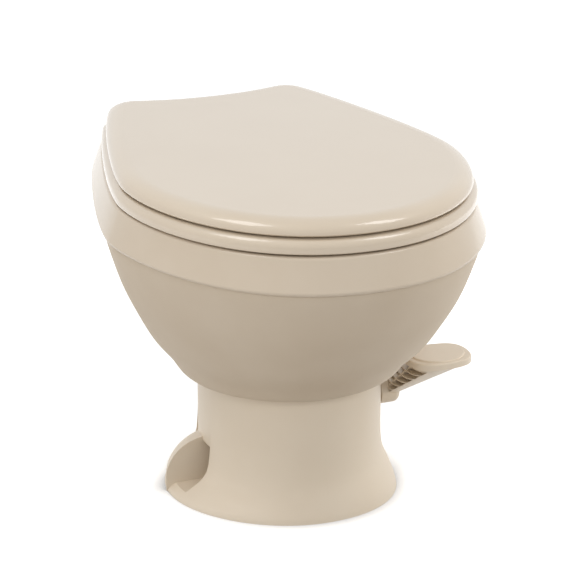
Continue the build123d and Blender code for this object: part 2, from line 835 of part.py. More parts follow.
def make_breaker():
    top = breaker_foot_z + breaker_height
    wall = hose_inner_radius - grommet_lip / 2
    breaker = rod_z(breaker_radius, breaker_foot_z, top, 0, breaker_y)
    barb_foot = breaker_foot_z - barb_length
    breaker += rod_z(hose_inner_radius - running_gap, barb_foot, breaker_foot_z, 0, breaker_y)
    breaker += rod_y(breaker_outlet_radius, breaker_outlet_end_y, breaker_y, 0, breaker_outlet_z)
    breaker -= rod_z(wall, breaker_foot_z - barb_length - cut_over, top, 0, breaker_y)
    breaker -= rod_z(breaker_radius - grommet_lip, breaker_foot_z + grommet_lip, top + cut_over, 0, breaker_y)
    breaker -= rod_y(breaker_inlet_radius, breaker_outlet_end_y - cut_over, breaker_y, 0, breaker_outlet_z)
    return breaker


def make_breaker_cap():
    top = breaker_foot_z + breaker_height
    lip = top - breaker_cap_height / 2
    cap = rod_z(breaker_cap_radius, lip, top + breaker_cap_height / 2, 0, breaker_y)
    return cap - rod_z(breaker_radius + running_gap, lip - cut_over, top, 0, breaker_y)


def make_grommet():
    outer_end = grommet_back_y + grommet_lip
    grommet = rod_y(grommet_radius, grommet_front_y, outer_end, 0, breaker_outlet_z)
    grommet += rod_y(grommet_radius + grommet_lip, grommet_back_y, outer_end, 0, breaker_outlet_z)
    return grommet - rod_y(breaker_outlet_radius + running_gap, 0, breaker_y, 0, breaker_outlet_z)


def make_cartridge():
    start = -housing_half_width
    end = cartridge_end_x + cartridge_cap_thickness
    cartridge = rod_x(cartridge_radius, end, start, 0, shaft_height)
    cartridge += rod_x(cartridge_flange_radius, start - cartridge_flange_thickness, start, 0, shaft_height)
    bore_radius = cartridge_radius - cartridge_wall
    return cartridge - rod_x(bore_radius, end - cut_over, start + cut_over, 0, shaft_height)


def make_cartridge_cap():
    cap_end = cartridge_end_x + cartridge_cap_thickness
    lip_end = cap_end + cartridge_cap_thickness
    cap = rod_x(cartridge_radius, cartridge_end_x, cap_end, 0, shaft_height)
    cap += rod_x(cartridge_radius - cartridge_wall - running_gap, cap_end, lip_end, 0, shaft_height)
    hole_radius = shaft_radius + part_gap
    return cap - rod_x(hole_radius, cartridge_end_x - cut_over, lip_end + cut_over, 0, shaft_height)


def make_spring():
    end_gap = spring_wire / 2 + part_gap
    low = cartridge_end_x + cartridge_cap_thickness * 2 + end_gap
    high = -boss_end_x - bush_flange_thickness - end_gap
    coil = Helix(pitch=(high - low) / spring_turns, height=high - low, radius=spring_radius)
    start = Plane(origin=coil @ 0, z_dir=coil % 0)
    wire = sweep(start * Circle(spring_wire / 2), coil, is_frenet=True)
    return Pos(low, 0, shaft_height) * Rot(0, 90, 0) * wire


def rounded_square(x, y, half_x, half_y, square_share, height):
    """A face with a full, nearly square outline"""
    right = quarters(
        Vector(0, -half_y), Vector(half_x, 0), Vector(0, half_y), square_share, square_share
    )
    back = [Vector(p.X, -p.Y) for p in reversed(right[:4])]
    return Pos(x, y, 0) * outline_face(right[:4] + back[1:], height)


def make_pad():
    pad = extrude(rounded_square(0, 0, pad_half_x, pad_half_y, pad_square_share, pad_foot_z), pad_thickness)
    pad = fillet(pad.faces().sort_by(Axis.Z)[-1].edges(), pad_round)
    inner = ellipse_outline(pad_half_x - pad_border_x, pad_half_y - pad_border_y)
    raised = extrude(outline_face(inner, pad_foot_z), pad_thickness + pad_raise)
    raised = fillet(raised.faces().sort_by(Axis.Z)[-1].edges(), pad_raise)
    return Pos(pad_x, pad_y, 0) * (pad + raised)


def arm_place(along, across):
    """A point on the arm's left side, by its shares up along the slope and from the front edge to the back"""
    foot_x = (pedal_hub_start_x + pedal_hub_end_x) / 2 - arm_foot_half
    top_x = pad_x - (pad_half_x - arm_inset_x)
    foot_y = arm_foot_half * (2 * across - 1)
    top_y = pad_y + (pad_half_y - arm_inset_y) * (2 * across - 1)
    x = foot_x + (top_x - foot_x) * along
    return Vector(x, foot_y + (top_y - foot_y) * along, arm_foot_z + (pad_foot_z - arm_foot_z) * along)


def arm_lattice():
    """The cells that are sunk into the arm's left side, with ribs left standing between them"""
    cells = []
    row_rib = arm_rib / (arm_place(1, 0) - arm_place(0, 0)).length
    row_step = (arm_lattice_top_share - arm_lattice_foot_share) / arm_rows
    for row in range(arm_rows):
        low = arm_lattice_foot_share + row_step * row
        high = low + row_step
        width = (arm_place(low, 1) - arm_place(low, 0)).length
        rib = arm_rib / width
        for column in range(arm_columns):
            front = rib + (1 - rib) * column / arm_columns
            back = (1 - rib) * (column + 1) / arm_columns
            corners = [
                arm_place(low + row_rib, front),
                arm_place(low + row_rib, back),
                arm_place(high, back),
                arm_place(high, front),
            ]
            cell = Face(Wire(Polyline(*corners, close=True).edges()))
            cells.append(Pos(-arm_rib, 0, 0) * extrude(cell, arm_pocket_depth + arm_rib, dir=(1, 0, 0)))
    return cells


def make_pedal():
    foot_x = (pedal_hub_start_x + pedal_hub_end_x) / 2
    foot = rounded_square(foot_x, 0, arm_foot_half, arm_foot_half, arm_square_share, arm_foot_z)
    top_half_x = pad_half_x - arm_inset_x
    top_half_y = pad_half_y - arm_inset_y
    top = rounded_square(pad_x, pad_y, top_half_x, top_half_y, arm_square_share, pad_foot_z)
    arm = loft([foot, top], ruled=True) - arm_lattice()
    hub = rod_x(pedal_hub_radius, pedal_hub_start_x, pedal_hub_end_x, 0, shaft_height)
    hub = fillet(hub.faces().sort_by(Axis.X)[-1].edges(), pedal_hub_round)
    pedal = arm + hub + make_pad()
    head_room = pedal_screw_head_radius + part_gap
    head_foot = pedal_hub_end_x - pedal_screw_head_height
    pedal -= rod_x(head_room, head_foot, pad_x, 0, shaft_height)
    pedal -= shaft_form(running_gap, 0, shaft_right_x + running_gap)
    return pedal - rod_x(pedal_screw_radius + running_gap, 0, pedal_hub_end_x + cut_over, 0, shaft_height)


def make_pedal_screw():
    head_foot = pedal_hub_end_x - pedal_screw_head_height
    screw = rod_x(pedal_screw_radius, head_foot - pedal_screw_length, head_foot, 0, shaft_height)
    return screw + rod_x(pedal_screw_head_radius, head_foot, pedal_hub_end_x, 0, shaft_height)


def barrel(radius, low, high):
    """A cylinder about the hinge axis"""
    return rod_x(radius, low, high, hinge_axis_y, hinge_axis_z)


def make_brackets():
    bracket_top = rim_height + bracket_height
    bracket = block(
        (hinge_x - bracket_half_width, bracket_front_y, rim_height),
        (hinge_x + bracket_half_width, bracket_back_y, bracket_top),
    )
    far_corner = (knuckle_outer_x, hinge_axis_y, bracket_top)
    bracket += block((knuckle_inner_x, hinge_bolt_y, rim_height), far_corner)
    bracket += barrel(knuckle_radius, knuckle_inner_x, knuckle_outer_x)
    bracket -= barrel(hinge_pin_radius + running_gap, 0, hinge_x * 2)
    head_foot = bracket_top - hinge_bolt_head_height
    bolt_hole = hinge_bolt_radius + running_gap
    head_hole = hinge_bolt_head_radius + hinge_bolt_gap
    bracket -= rod_z(bolt_hole, rim_height - cut_over, bracket_top, hinge_x, hinge_bolt_y)
    bracket -= rod_z(head_hole, head_foot, bracket_top + cut_over, hinge_x, hinge_bolt_y)
    return both_sides(bracket)


def make_hinge_bolts():
    head_foot = rim_height + bracket_height - hinge_bolt_head_height
    bolt = rod_z(hinge_bolt_radius, head_foot - hinge_bolt_length, head_foot, hinge_x, hinge_bolt_y)
    head_top = head_foot + hinge_bolt_head_height
    return both_sides(bolt + rod_z(hinge_bolt_head_radius, head_foot, head_top, hinge_x, hinge_bolt_y))


def make_washers():
    top = rim_height - deck_thickness
    washer = rod_z(washer_radius, top - washer_thickness, top, hinge_x, hinge_bolt_y)
    return both_sides(washer - rod_z(hinge_bolt_radius + running_gap, 0, rim_height, hinge_x, hinge_bolt_y))


def make_nuts():
    top = rim_height - deck_thickness - washer_thickness
    hexagon = RegularPolygon(hinge_nut_radius, 6)
    nut = Pos(hinge_x, hinge_bolt_y, top - hinge_nut_height) * extrude(hexagon, hinge_nut_height)
    return both_sides(nut - rod_z(hinge_bolt_radius + running_gap, 0, rim_height, hinge_x, hinge_bolt_y))


def leaf_knuckle(low, high, web_foot, web_top):
    """A barrel on the hinge axis with the web that joins it to its leaf"""
    web = block((low, leaf_web_y, web_foot), (high, hinge_axis_y, web_top))
    return web + barrel(knuckle_radius, low, high)


def make_pins():
    low = knuckle_inner_x - knuckle_gap - leaf_knuckle_width
    high = knuckle_outer_x + knuckle_gap + leaf_knuckle_width
    return both_sides(barrel(hinge_pin_radius, low, high))


def lid_leaf_span():
    high = knuckle_inner_x - knuckle_gap
    return high - leaf_knuckle_width, high


def seat_leaf_span():
    low = hinge_x + bracket_half_width + knuckle_gap
    return low, low + leaf_knuckle_width


def make_lid_leaves():
    low, high = lid_leaf_span()
    leaf = block((low, lid_leaf_front_y, lid_foot_z - leaf_thickness), (high, leaf_web_y, lid_foot_z))
    leaf += leaf_knuckle(low, high, hinge_axis_z, lid_foot_z)
    leaf -= barrel(hinge_pin_radius + running_gap, 0, hinge_x * 2)
    for x, y in leaf_screw_places(low, high, lid_leaf_front_y, leaf_web_y):
        leaf -= rod_z(leaf_screw_radius + running_gap, rim_height, lid_top_z, x, y)
    return both_sides(leaf)


def make_seat_leaves():
    low, high = seat_leaf_span()
    leaf = block((low, seat_leaf_front_y, seat_foot_z), (high, leaf_web_y, seat_foot_z + leaf_thickness))
    knuckle_low = knuckle_outer_x + knuckle_gap
    leaf += block((low, leaf_web_y, seat_foot_z), (high, hinge_axis_y, hinge_axis_z))
    leaf += barrel(knuckle_radius, knuckle_low, knuckle_low + leaf_knuckle_width)
    leaf -= barrel(hinge_pin_radius + running_gap, 0, hinge_x * 2)
    for x, y in leaf_screw_places(low, high, seat_leaf_front_y, seat_back_y):
        leaf -= rod_z(leaf_screw_radius + running_gap, rim_height, lid_top_z, x, y)
    return both_sides(leaf)


def leaf_screw_places(low, high, front, back):
    """Two screws along a leaf"""
    x = (low + high) / 2
    third = (back - front) / 4
    return [(x, front + third), (x, back - third)]


def make_leaf_screws(places, foot):
    """Screws with flat heads, pointing upwards"""
    screws = []
    for x, y in places:
        screw = rod_z(leaf_screw_radius, foot, foot + leaf_screw_length, x, y)
        screw += rod_z(leaf_screw_head_radius, foot - leaf_screw_head_height, foot, x, y)
        screws += [screw.solid(), mirrored(screw).solid()]
    return Compound(children=screws)


def with_holes(shape, places, radius, foot, top):
    """Blind holes on both sides"""
    for x, y in places:
        for side in (-1, 1):
            shape -= rod_z(radius, foot, top, x * side, y)
    return shape


def make_seat():
    outline = lid_outline(seat_grow)
    opening = ellipse_outline(seat_open_half_x, seat_open_half_y, seat_open_centre_y)
    seat = extrude(outline_face(outline, seat_foot_z), seat_thickness)
    seat -= extrude(outline_face(opening, seat_foot_z - cut_over), seat_thickness + cut_over * 2)
    seat = fillet(seat.faces().sort_by(Axis.Z)[-1].inner_wires()[0].edges(), seat_open_round)
    seat = fillet(seat.faces().sort_by(Axis.Z)[-1].outer_wire().edges(), seat_edge_round)
    seat = fillet(seat.faces().sort_by(Axis.Z)[0].outer_wire().edges(), seat_foot_round)
    reach = lid_front_reach * 2
    seat -= block((-reach, seat_back_y, seat_foot_z - cut_over), (reach, reach, seat_top_z + cut_over))
    low, high = seat_leaf_span()
    recess = block(
        (low - part_gap, seat_leaf_front_y - part_gap, seat_foot_z - cut_over),
        (high + part_gap, seat_back_y + cut_over, seat_foot_z + leaf_thickness),
    )
    seat -= recess + mirrored(recess)
    screws = leaf_screw_places(low, high, seat_leaf_front_y, seat_back_y)
    tip = seat_foot_z + leaf_screw_length
    seat = with_holes(seat, screws, leaf_screw_radius + running_gap, seat_foot_z, tip)
    studs = seat_foot_z + bumper_stud_length
    hole_radius = bumper_stud_radius + running_gap
    return with_holes(seat, seat_bumper_places(), hole_radius, seat_foot_z - cut_over, studs)


def make_lid():
    levels = [(lid_outline(-lid_foot_round), lid_foot_z), (lid_outline(0), lid_foot_z + lid_foot_round)]
    edge_height = lid_thickness - lid_foot_round
    for i in range(1, lid_edge_steps + 1):
        turn = radians(90 * i / lid_edge_steps)
        outline = lid_outline(-lid_edge_run * (1 - cos(turn)))
        levels.append((outline, lid_foot_z + lid_foot_round + edge_height * sin(turn)))
    lid = loft([outline_face(points, height) for points, height in levels[1:]])
    lid += loft([outline_face(points, height) for points, height in levels[:2]], ruled=True)
    low, high = lid_leaf_span()
    screws = leaf_screw_places(low, high, lid_leaf_front_y, leaf_web_y)
    tip = lid_foot_z - leaf_thickness + leaf_screw_length
    lid = with_holes(lid, screws, leaf_screw_radius + running_gap, lid_foot_z - cut_over, tip)
    studs = lid_foot_z + bumper_stud_length
    hole_radius = bumper_stud_radius + running_gap
    return with_holes(lid, lid_bumper_places(), hole_radius, lid_foot_z - cut_over, studs)


def seat_bumper_places():
    return [(seat_bumper_x, seat_bumper_front_y), (seat_bumper_back_x, seat_bumper_back_y)]


def lid_bumper_places():
    return [(lid_bumper_x, lid_bumper_front_y), (seat_bumper_back_x, seat_bumper_back_y)]


def make_bumpers(places, foot, top):
    """Four buffers with a stud that goes up into their carrier"""
    bumpers = []
    for x, y in places:
        bumper = rod_z(bumper_radius, foot, top, x, y)
        bumper += rod_z(bumper_stud_radius, top, top + bumper_stud_length, x, y)
        bumpers += [bumper.solid(), mirrored(bumper).solid()]
    return Compound(children=bumpers)


os.makedirs("parts", exist_ok=True)

save("pedestal", make_pedestal())
save("bowl", make_bowl())
save("flush_housing", make_flush_housing())
save("floor_seal", make_floor_seal())
save("ball_seal", make_ball_seal())
save("shaft_bushes", make_bushes())
save("clamp_front", make_clamp(True))
save("clamp_rear", make_clamp(False))
save("clamp_screws", make_screws(clamp_screw_places(), clamp_top_z, seal_height - housing_flange_thickness))
save(
    "housing_screws",
    make_screws(
        corner_places(housing_screw_x, housing_screw_y),
        base_plate_thickness + housing_foot_thickness,
        base_plate_thickness / 4,
    ),
)
save("flush_ball", make_flush_ball())
save("ball_shaft", make_shaft())
save("spring_cartridge", make_cartridge())
save("cartridge_cap", make_cartridge_cap())
save("return_spring", make_spring())
save("valve_cam", make_cam())
save("valve_plunger", make_plunger())
save("water_valve", make_water_valve())
save("valve_bonnet", make_bonnet())
save("valve_screws", make_valve_screws())
save("inlet_fitting", make_inlet())
save("supply_hose", make_hose())
clamp_outer = hose_outer_radius + hose_clamp_thickness
save("hose_clamps", hose_ring(hose_outer_radius + running_gap, clamp_outer, hose_clamp_width))
save("vacuum_breaker", make_breaker())
save("breaker_cap", make_breaker_cap())
save("bowl_grommet", make_grommet())
save("pedal", make_pedal())
save("pedal_screw", make_pedal_screw())
save("hinge_brackets", make_brackets())
save("hinge_bolts", make_hinge_bolts())
save("bolt_washers", make_washers())
save("hinge_nuts", make_nuts())
save("hinge_pins", make_pins())
save("seat_ring", make_seat())
save("seat_bumpers", make_bumpers(seat_bumper_places(), rim_height, seat_foot_z))
save("seat_hinge_leaves", make_seat_leaves())
seat_low, seat_high = seat_leaf_span()
save(
    "seat_leaf_screws",
    make_leaf_screws(leaf_screw_places(seat_low, seat_high, seat_leaf_front_y, seat_back_y), seat_foot_z),
)
save("lid", make_lid())
save("lid_bumpers", make_bumpers(lid_bumper_places(), seat_top_z, lid_foot_z))
save("lid_hinge_leaves", make_lid_leaves())
lid_low, lid_high = lid_leaf_span()
save(
    "lid_leaf_screws",
    make_leaf_screws(
        leaf_screw_places(lid_low, lid_high, lid_leaf_front_y, leaf_web_y), lid_foot_z - leaf_thickness
    ),
)
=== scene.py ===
# %% [markdown]
# A motor home toilet in bone colour, seen from the front and a little from above.
# The solids come ready-made, in metres.
# Here they get their real surfaces, and the fine pieces that only the eye needs are modelled around them.

# %% Load the solids
import json
import math

import bpy
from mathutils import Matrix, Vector


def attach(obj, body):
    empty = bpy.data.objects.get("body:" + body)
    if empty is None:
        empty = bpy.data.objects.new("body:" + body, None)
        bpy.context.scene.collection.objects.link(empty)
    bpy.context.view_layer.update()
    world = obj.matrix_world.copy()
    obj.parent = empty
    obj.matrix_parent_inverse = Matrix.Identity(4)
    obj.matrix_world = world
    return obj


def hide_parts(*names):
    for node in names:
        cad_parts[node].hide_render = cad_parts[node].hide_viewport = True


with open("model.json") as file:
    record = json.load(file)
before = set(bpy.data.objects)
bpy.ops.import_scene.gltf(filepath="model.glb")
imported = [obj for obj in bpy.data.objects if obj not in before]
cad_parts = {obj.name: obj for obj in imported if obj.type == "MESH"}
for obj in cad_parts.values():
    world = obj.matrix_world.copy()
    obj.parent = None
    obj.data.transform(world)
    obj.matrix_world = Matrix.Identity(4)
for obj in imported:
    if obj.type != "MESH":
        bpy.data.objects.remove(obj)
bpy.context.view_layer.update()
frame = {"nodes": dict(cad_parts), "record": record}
nodes = frame["nodes"]

# %% [markdown]
# Colours are written the way a paint chart gives them, as sRGB hex values, and one function turns them
# linear. Another one adds a shader node with its settings and its links, so every finish below is a short
# list.

# %% Colour and node helpers
MM = 0.001


def colour(hex_value):
    """Linear RGBA from an sRGB hex value"""
    parts = [int(hex_value[i : i + 2], 16) / 255 for i in (1, 3, 5)]
    linear = [p / 12.92 if p <= 0.04045 else ((p + 0.055) / 1.055) ** 2.4 for p in parts]
    return (*linear, 1.0)


def add(tree, kind, settings=None, links=None):
    """Adds one node: settings by property, socket name or socket number, links as {input: output socket}"""
    node = tree.nodes.new(kind)
    for name, value in (settings or {}).items():
        if isinstance(name, int) or name in node.inputs:
            node.inputs[name].default_value = value
        else:
            setattr(node, name, value)
    for name, source in (links or {}).items():
        tree.links.new(source, node.inputs[name])
    return node


def new_material(name):
    """An empty node material and its output node"""
    material = bpy.data.materials.new(name)
    material.use_nodes = True
    tree = material.node_tree
    tree.nodes.clear()
    return material, tree, add(tree, "ShaderNodeOutputMaterial")


# %% [markdown]
# Most surfaces here are one colour with a fine relief: sprayed enamel has a soft orange peel, glaze pools in
# slow waves, moulded plastic copies the etched steel of its mould. So one function makes them all from a
# colour, its darker neighbour, a roughness and the real size of the relief in millimetres. The bowl is glossy
# on its rim only, so a finish can also be given a height and a second roughness below it.

# %% A finish with a slow tint and a fine relief
TINT_DETAIL = 3.0
TINT_FROM = 0.3
TINT_TO = 0.7
RELIEF_DETAIL = 2.0
WEAR_LOW = 0.85
WEAR_HIGH = 1.15
COAT_ROUGHNESS = 0.04


def rougher_below(tree, place, upper_roughness, height, roughness):
    """The roughness of a surface that changes within two millimetres at a height"""
    upright = add(tree, "ShaderNodeSeparateXYZ", links={"Vector": place})
    below = add(
        tree,
        "ShaderNodeMapRange",
        {"From Min": (height + 1) * MM, "From Max": (height - 1) * MM},
        {"Value": upright.outputs["Z"]},
    )
    return add(
        tree,
        "ShaderNodeMapRange",
        {"To Max": roughness},
        {"Value": below.outputs["Result"], "To Min": upper_roughness},
    ).outputs["Result"]


def finish(
    name, tones, rough, tint_mm, relief_mm, relief_depth_mm, coat=0.0, metal=0.0, specular=0.5, low=None
):
    """A finish from two tones, with the sizes of its tint and its relief in millimetres"""
    material, tree, output = new_material(name)
    place = add(tree, "ShaderNodeTexCoord").outputs["Object"]
    tint = add(
        tree,
        "ShaderNodeTexNoise",
        {"Scale": 1 / (tint_mm * MM), "Detail": TINT_DETAIL},
        {"Vector": place},
    )
    blend = add(tree, "ShaderNodeValToRGB", links={"Fac": tint.outputs["Fac"]})
    for stop, position, tone in zip(blend.color_ramp.elements, (TINT_FROM, TINT_TO), reversed(tones)):
        stop.position = position
        stop.color = colour(tone)
    relief = add(
        tree,
        "ShaderNodeTexNoise",
        {"Scale": 1 / (relief_mm * MM), "Detail": RELIEF_DETAIL},
        {"Vector": place},
    )
    bump = add(
        tree,
        "ShaderNodeBump",
        {"Strength": 1.0, "Distance": relief_depth_mm * MM},
        {"Height": relief.outputs["Fac"]},
    )
    wear = add(
        tree,
        "ShaderNodeMapRange",
        {"To Min": rough * WEAR_LOW, "To Max": rough * WEAR_HIGH},
        {"Value": tint.outputs["Fac"]},
    ).outputs["Result"]
    if low:
        wear = rougher_below(tree, place, wear, *low)
    shader = add(
        tree,
        "ShaderNodeBsdfPrincipled",
        {
            "Metallic": metal,
            "Coat Weight": coat,
            "Coat Roughness": COAT_ROUGHNESS,
            "Specular IOR Level": specular,
        },
        {"Base Color": blend.outputs["Color"], "Roughness": wear, "Normal": bump.outputs["Normal"]},
    )
    tree.links.new(shader.outputs["BSDF"], output.inputs["Surface"])
    return material


# %% The finishes of this toilet
RIM_FOOT_MM = 287
BOWL_ROUGHNESS = 0.6

enamel_tones = ("#D1C2AD", "#CEBEA8")
glaze_tones = ("#D2C4B1", "#CEBFAB")
seat_enamel = finish("sprayed_enamel_on_moulded_wood", enamel_tones, 0.34, 90, 4, 0.004, coat=1.0)
bowl_glaze = finish(
    "glazed_vitreous_china", glaze_tones, 0.12, 70, 12, 0.01, specular=0.42, low=(RIM_FOOT_MM, BOWL_ROUGHNESS)
)
pedestal_plastic = finish("moulded_polypropylene", ("#E0D3C0", "#DDCFBB"), 0.42, 60, 1.2, 0.02)
pedal_plastic = finish("moulded_glass_filled_nylon", ("#E4D7C4", "#E0D2BE"), 0.36, 40, 1.0, 0.02)
hinge_plastic = finish("moulded_acetal", ("#DCCDB8", "#D8C8B2"), 0.3, 30, 1.0, 0.01)
white_plastic = finish("moulded_white_acetal", ("#E6E4DE", "#DEDCD5"), 0.35, 30, 0.8, 0.01)
black_plastic = finish("moulded_black_polypropylene", ("#1C1C1D", "#151516"), 0.4, 30, 0.8, 0.02)
seal_rubber = finish("moulded_black_rubber", ("#1B1B1C", "#232324"), 0.75, 20, 0.8, 0.03)
hose_rubber = finish("extruded_grey_rubber_hose", ("#3A3A3C", "#323234"), 0.6, 20, 1.5, 0.03)
stainless = finish("turned_stainless_steel", ("#C9C8C5", "#BDBCB9"), 0.25, 15, 0.4, 0.004, metal=1.0)

finish_of_slot = {
    "pedestal_plastic": pedestal_plastic,
    "glazed_china": bowl_glaze,
    "seat_enamel": seat_enamel,
    "black_plastic": black_plastic,
    "white_plastic": white_plastic,
    "hinge_plastic": hinge_plastic,
    "seal_rubber": seal_rubber,
    "hose_rubber": hose_rubber,
    "steel": stainless,
}
slot_of_node = {part["node"]: part["material_slot"] for part in frame["record"]["subparts"]}
for name, node in nodes.items():
    surface = pedal_plastic if name == "pedal" else finish_of_slot[slot_of_node[name]]
    node.data.materials.clear()
    node.data.materials.append(surface)
print("finished solids:", len(nodes))

# %% [markdown]
# The pieces that are modelled here start from boxes, rods and merged copies of the solids. The tools below
# take millimetres, and each finished piece is hung on the body that it moves with, while the solid it stands
# for is hidden.

# %% Tools for modelled pieces
MERGE_DISTANCE_MM = 0.01
BEVEL_ABOVE_DEG = 40
SHARP_ABOVE_DEG = 35


def slab(low, high):
    """A box between two corners, in millimetres"""
    bpy.ops.object.select_all(action="DESELECT")
    middle = [(a + b) / 2 * MM for a, b in zip(low, high)]
    bpy.ops.mesh.primitive_cube_add(size=1, location=middle)
    item = bpy.context.object
    item.scale = [(b - a) * MM for a, b in zip(low, high)]
    bpy.ops.object.transform_apply(location=True, rotation=True, scale=True)
    return item


def rod_x(radius, low, high, sides):
    """A cylinder along X from the middle of one end to the middle of the other, in millimetres"""
    bpy.ops.object.select_all(action="DESELECT")
    middle = [(a + b) / 2 * MM for a, b in zip(low, high)]
    depth = math.dist(low, high) * MM
    turn = (0, math.pi / 2, 0)
    bpy.ops.mesh.primitive_cylinder_add(
        vertices=sides, radius=radius * MM, depth=depth, location=middle, rotation=turn
    )
    bpy.ops.object.transform_apply(location=True, rotation=True, scale=True)
    return bpy.context.object


def apply_modifier(item, kind, **settings):
    """Adds a modifier, sets it and applies it"""
    bpy.ops.object.select_all(action="DESELECT")
    item.select_set(True)
    bpy.context.view_layer.objects.active = item
    modifier = item.modifiers.new(kind.lower(), kind)
    for name, value in settings.items():
        setattr(modifier, name, value)
    bpy.ops.object.modifier_apply(modifier=modifier.name)


def soften(item, width):
    """Rounds the sharp edges by a width in millimetres"""
    angle = math.radians(BEVEL_ABOVE_DEG)
    apply_modifier(item, "BEVEL", width=width * MM, segments=2, limit_method="ANGLE", angle_limit=angle)


def cut(item, tool):
    """Takes one solid away from another"""
    apply_modifier(item, "BOOLEAN", operation="DIFFERENCE", solver="EXACT", object=tool)
    bpy.data.objects.remove(tool, do_unlink=True)


def join(items, name):
    """Makes one piece of several"""
    bpy.ops.object.select_all(action="DESELECT")
    for item in items:
        item.select_set(True)
    bpy.context.view_layer.objects.active = items[0]
    bpy.ops.object.join()
    bpy.context.object.name = name
    return bpy.context.object


def copy_of(node_name):
    """A merged copy of a solid's mesh"""
    item = bpy.data.objects.new(node_name + "_copy", nodes[node_name].data.copy())
    bpy.context.scene.collection.objects.link(item)
    bpy.ops.object.select_all(action="DESELECT")
    item.select_set(True)
    bpy.context.view_layer.objects.active = item
    bpy.ops.object.mode_set(mode="EDIT")
    bpy.ops.mesh.select_all(action="SELECT")
    bpy.ops.mesh.remove_doubles(threshold=MERGE_DISTANCE_MM * MM)
    bpy.ops.object.mode_set(mode="OBJECT")
    return item


def single_solids(node_name):
    """The solids of a node as loose copies"""
    copy_of(node_name)
    bpy.ops.object.mode_set(mode="EDIT")
    bpy.ops.mesh.separate(type="LOOSE")
    bpy.ops.object.mode_set(mode="OBJECT")
    return list(bpy.context.selected_objects)


def box_mm(item):
    """Lowest corner, highest corner and middle in millimetres"""
    low = [min(vertex.co[i] for vertex in item.data.vertices) / MM for i in range(3)]
    high = [max(vertex.co[i] for vertex in item.data.vertices) / MM for i in range(3)]
    return low, high, [(a + b) / 2 for a, b in zip(low, high)]


def dress(item, surface, body, stands_for):
    """Gives a finished piece its surface and its body, and hides the solid that it stands for"""
    item.data.materials.clear()
    item.data.materials.append(surface)
    for polygon in item.data.polygons:
        polygon.use_smooth = True
    item.data.set_sharp_from_angle(angle=math.radians(SHARP_ABOVE_DEG))
    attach(item, body)
    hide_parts(stands_for)
    print(item.name, len(item.data.polygons), "faces")


# %% [markdown]
# The screws come as plain pins with plain heads. Each one gets the crossed recess that a screwdriver fits.
# A copy of the solids is split into single screws, which are cut with two crossed slabs and joined again.

# %% Screws with a crossed recess
RECESS_WIDTH = 1.1
RECESS_SHARE = 0.62


def crossed_screws(node_name, body, axis, side, head_radius, recess_depth):
    """Copies of the screws with a crossed recess in the heads, which look along the axis to one side"""
    screws = single_solids(node_name)
    sideways = [i for i in range(3) if i != axis]
    for screw in screws:
        low, high, middle = box_mm(screw)
        end = high[axis] if side > 0 else low[axis]
        for across in sideways:
            first, last = list(middle), list(middle)
            for i in sideways:
                half = head_radius * RECESS_SHARE if i == across else RECESS_WIDTH / 2
                first[i] -= half
                last[i] += half
            first[axis] = min(end - recess_depth * side, end + side)
            last[axis] = max(end - recess_depth * side, end + side)
            cut(screw, slab(first, last))
    dress(join(screws, node_name + "_crossed"), stainless, body, node_name)


crossed_screws("pedal_screw", "flush", axis=0, side=1, head_radius=6, recess_depth=1.8)
crossed_screws("valve_screws", "base", axis=1, side=1, head_radius=3.5, recess_depth=1.5)
crossed_screws("seat_leaf_screws", "seat", axis=2, side=-1, head_radius=3.4, recess_depth=0.7)
crossed_screws("lid_leaf_screws", "lid", axis=2, side=-1, head_radius=3.4, recess_depth=0.7)

# %% [markdown]
# A hose clamp is a steel band with a small housing on it, and a slotted worm screw through the housing.
# The bands come ready-made, so only the housings and their screws are added to a copy. One band lies round
# the hose's level end and one round its upright end.

# %% Hose clamps with their worm screws
BAND_WIDTH_BELOW = 10
HOUSING_HALF = 6
HOUSING_SINK = 0.6
HOUSING_HEIGHT = 4.5
HOUSING_INSET = 0.5
HOUSING_EDGE = 0.8
WORM_RADIUS = 2.6
WORM_SIDES = 32
WORM_RISE = 2
WORM_FROM = 10
WORM_TO = 8
WORM_EDGE = 0.4
SLOT_FROM = 11
SLOT_TO = 8.8
SLOT_HALF_WIDTH = 0.5
SLOT_REACH = 4


def clamp_point(run, x, along, outward):
    """A point by its place along X, along the hose and outward from it"""
    return (x, along, outward) if run == 1 else (x, outward, along)


bands = single_solids("hose_clamps")
fittings = []
for band in bands:
    low, high, middle = box_mm(band)
    run = 1 if high[1] - low[1] < BAND_WIDTH_BELOW else 2
    centre, top = middle[0], high[3 - run]
    worm_height = top + WORM_RISE
    housing = slab(
        clamp_point(run, centre - HOUSING_HALF, low[run] + HOUSING_INSET, top - HOUSING_SINK),
        clamp_point(run, centre + HOUSING_HALF, high[run] - HOUSING_INSET, top + HOUSING_HEIGHT),
    )
    soften(housing, HOUSING_EDGE)
    worm = rod_x(
        WORM_RADIUS,
        clamp_point(run, centre - WORM_FROM, middle[run], worm_height),
        clamp_point(run, centre + WORM_TO, middle[run], worm_height),
        WORM_SIDES,
    )
    soften(worm, WORM_EDGE)
    slot = slab(
        clamp_point(run, centre - SLOT_FROM, middle[run] - SLOT_HALF_WIDTH, worm_height - SLOT_REACH),
        clamp_point(run, centre - SLOT_TO, middle[run] + SLOT_HALF_WIDTH, worm_height + SLOT_REACH),
    )
    cut(worm, slot)
    fittings += [housing, worm]
dress(join(bands + fittings, "hose_clamps_with_worms"), stainless, "base", "hose_clamps")

# %% [markdown]
# The vacuum breaker's cap lets air in through slots round its edge, which keep its disc from sucking shut.

# %% Slotted cap of the vacuum breaker
AIR_SLOTS = 12
AIR_SLOT_HALF_WIDTH = 1.2
AIR_SLOT_DEPTH = 1.6
AIR_SLOT_FOOT = 1.5
AIR_SLOT_TOP = 2

